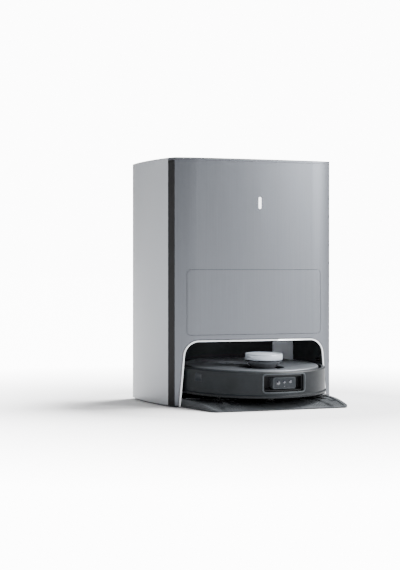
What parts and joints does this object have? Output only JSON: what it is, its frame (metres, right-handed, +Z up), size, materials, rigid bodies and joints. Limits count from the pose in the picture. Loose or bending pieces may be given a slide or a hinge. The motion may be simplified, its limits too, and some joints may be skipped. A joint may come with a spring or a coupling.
{
  "type": "robot vacuum with docking station",
  "caption": "Round robot vacuum with laser turret and mops, parked in a tall washing and self-emptying station with water tanks, dust bag and ramp.",
  "frame": {"origin": "middle of the bounding box's base, on the surface the station stands on", "axes": "+Z up, the front and the ramp face -Y, +X is right as seen by someone looking along +Y at the front"},
  "size_m": [0.4304, 0.44, 0.578],
  "materials": {
    "silver": "satin",
    "fascia": "satin metallic",
    "black": "matte",
    "trim": "satin",
    "tray": "matte",
    "rubber": "matte",
    "tank": "gloss",
    "tank_dark": "gloss",
    "handle": "matte",
    "paper": "felt",
    "card": "matte",
    "duct": "matte",
    "fan": "matte",
    "board": "matte",
    "steel": "satin",
    "light": "diffuse",
    "robot_black": "matte",
    "robot_shell": "satin",
    "robot_top": "metallic satin",
    "turret": "metallic satin",
    "lens": "gloss",
    "bin": "gloss",
    "cell": "matte",
    "brush": "matte",
    "mop": "pile"
  },
  "bodies": {
    "station": {"arch_trim": "trim", "base_tray": "tray", "bay_housing": "black", "control_board": "board", "corner_strips": "black", "drying_fan_case": "duct", "duct_cover": "black", "dust_chamber": "black", "front_fascia": "fascia", "left_side_panel": "silver", "lid_hinge_pins": "steel", "power_inlet": "duct", "rear_panel": "black", "right_side_panel": "silver", "rubber_feet": "rubber", "status_light": "light", "suction_duct": "duct", "tank_deck": "black", "vacuum_motor": "duct", "wash_tray": "tray", "water_pump": "duct"},
    "robot": {"robot_chassis": "robot_black", "robot_deck": "robot_black", "camera_bezel": "lens", "camera_module": "lens", "turret_base": "robot_black", "turret_cap": "turret", "dust_bin": "bin", "battery": "cell", "main_board": "board", "brush_guard": "robot_black"},
    "bumper": {"bumper": "robot_shell"},
    "top_cover": {"top_cover": "robot_top"},
    "laser_head": {"turret_rotor": "lens"},
    "robot_fan": {"fan_impeller": "fan"},
    "left_arm": {"left_wheel_arm": "robot_black"},
    "right_arm": {"right_wheel_arm": "robot_black"},
    "left_drive_wheel": {"left_wheel": "robot_black", "left_tyre": "rubber"},
    "right_drive_wheel": {"right_wheel": "robot_black", "right_tyre": "rubber"},
    "caster": {"caster_fork": "robot_black"},
    "caster_roller": {"caster_wheel": "robot_black"},
    "roller_brush": {"main_brush": "brush"},
    "left_sweeper": {"left_side_brush": "brush"},
    "right_sweeper": {"right_side_brush": "brush"},
    "left_mop_disc": {"left_mop": "mop"},
    "right_mop_disc": {"right_mop": "mop"},
    "station_lid": {"lid": "fascia"},
    "bag_door": {"access_door": "fascia"},
    "bag": {"dust_bag": "paper", "bag_collar": "card"},
    "clean_tank": {"clean_water_tank": "tank"},
    "clean_handle": {"clean_tank_handle": "handle"},
    "dirty_tank": {"dirty_water_tank": "tank_dark"},
    "dirty_handle": {"dirty_tank_handle": "handle"},
    "left_contact": {"left_charge_contact": "steel"},
    "right_contact": {"right_charge_contact": "steel"},
    "vacuum_rotor": {"vacuum_impeller": "fan"},
    "dryer_rotor": {"drying_fan": "fan"}
  },
  "joints": [
    {"name": "robot_docking", "type": "slide", "parent": "station", "child": "robot", "axis": [0, -0.999, -0.0436], "range_m": [0, 0.3]},
    {"name": "bumper_press", "type": "slide", "parent": "robot", "child": "bumper", "axis": [0, 0.999, 0.0436], "range_m": [0, 0.003], "stiffness_N_per_m": 1500},
    {"name": "cover_lift", "type": "slide", "parent": "robot", "child": "top_cover", "axis": [0, -0.0436, 0.999], "range_m": [0, 0.045]},
    {"name": "laser_spin", "type": "hinge", "parent": "robot", "child": "laser_head", "pos_m": [0, -0.11685, 0.10664], "axis": [0, -0.0436, 0.999], "continuous": true},
    {"name": "robot_fan_spin", "type": "hinge", "parent": "robot", "child": "robot_fan", "pos_m": [-0.105, 0.0526, 0.05398], "axis": [0, -0.0436, 0.999], "continuous": true},
    {"name": "left_wheel_swing", "type": "hinge", "parent": "robot", "child": "left_arm", "pos_m": [-0.0935, 0.00639, 0.05797], "axis": [1, 0, 0], "range_deg": [-2.5, 0]},
    {"name": "left_wheel_spin", "type": "hinge", "parent": "left_arm", "child": "left_drive_wheel", "pos_m": [-0.115, -0.03926, 0.04877], "axis": [1, 0, 0], "continuous": true},
    {"name": "left_side_brush_spin", "type": "hinge", "parent": "robot", "child": "left_sweeper", "pos_m": [-0.122, -0.13817, 0.02163], "axis": [0, -0.0436, 0.999], "continuous": true},
    {"name": "left_mop_spin", "type": "hinge", "parent": "robot", "child": "left_mop_disc", "pos_m": [-0.062, 0.05665, 0.03014], "axis": [0, -0.0436, 0.999], "continuous": true},
    {"name": "clean_tank_lift", "type": "slide", "parent": "station", "child": "clean_tank", "axis": [0, 0, 1], "range_m": [0, 0.03]},
    {"name": "clean_handle_swing", "type": "hinge", "parent": "clean_tank", "child": "clean_handle", "pos_m": [-0.1, 0.06, 0.474], "axis": [1, 0, 0], "range_deg": [0, 90]},
    {"name": "left_contact_press", "type": "slide", "parent": "station", "child": "left_contact", "axis": [-1, 0, 0], "range_m": [0, 0.0025], "stiffness_N_per_m": 400},
    {"name": "right_wheel_swing", "type": "hinge", "parent": "robot", "child": "right_arm", "pos_m": [0.0935, 0.00639, 0.05797], "axis": [1, 0, 0], "range_deg": [-2.5, 0]},
    {"name": "right_wheel_spin", "type": "hinge", "parent": "right_arm", "child": "right_drive_wheel", "pos_m": [0.115, -0.03926, 0.04877], "axis": [1, 0, 0], "continuous": true},
    {"name": "right_side_brush_spin", "type": "hinge", "parent": "robot", "child": "right_sweeper", "pos_m": [0.122, -0.13817, 0.02163], "axis": [0, -0.0436, 0.999], "continuous": true},
    {"name": "right_mop_spin", "type": "hinge", "parent": "robot", "child": "right_mop_disc", "pos_m": [0.062, 0.05665, 0.03014], "axis": [0, -0.0436, 0.999], "continuous": true},
    {"name": "dirty_tank_lift", "type": "slide", "parent": "station", "child": "dirty_tank", "axis": [0, 0, 1], "range_m": [0, 0.03]},
    {"name": "dirty_handle_swing", "type": "hinge", "parent": "dirty_tank", "child": "dirty_handle", "pos_m": [0.1, 0.06, 0.474], "axis": [1, 0, 0], "range_deg": [0, 90]},
    {"name": "right_contact_press", "type": "slide", "parent": "station", "child": "right_contact", "axis": [1, 0, 0], "range_m": [0, 0.0025], "stiffness_N_per_m": 400},
    {"name": "caster_swivel", "type": "hinge", "parent": "robot", "child": "caster", "pos_m": [0, -0.15542, 0.04991], "axis": [0, -0.0436, 0.999], "continuous": true},
    {"name": "caster_roll", "type": "hinge", "parent": "caster", "child": "caster_roller", "pos_m": [0, -0.14839, 0.02649], "axis": [1, 0, 0], "continuous": true},
    {"name": "roller_brush_spin", "type": "hinge", "parent": "robot", "child": "roller_brush", "pos_m": [0, -0.09892, 0.03986], "axis": [1, 0, 0], "continuous": true},
    {"name": "lid_hinge", "type": "hinge", "parent": "station", "child": "station_lid", "pos_m": [0, 0.217, 0.575], "axis": [-1, 0, 0], "range_deg": [0, 80]},
    {"name": "bag_door_pull", "type": "slide", "parent": "station", "child": "bag_door", "axis": [0, -1, 0], "range_m": [0, 0.06]},
    {"name": "bag_lift", "type": "slide", "parent": "station", "child": "bag", "axis": [0, 0, 1], "range_m": [0, 0.012]},
    {"name": "vacuum_spin", "type": "hinge", "parent": "station", "child": "vacuum_rotor", "pos_m": [-0.03, 0.15, 0.2], "axis": [0, 0, 1], "continuous": true},
    {"name": "dryer_spin", "type": "hinge", "parent": "station", "child": "dryer_rotor", "pos_m": [-0.15, 0.178, 0.25], "axis": [0, 0, 1], "continuous": true}
  ],
  "couplings": [
    {"joint": "right_mop_spin", "follows": "left_mop_spin", "ratio": -1}
  ]
}
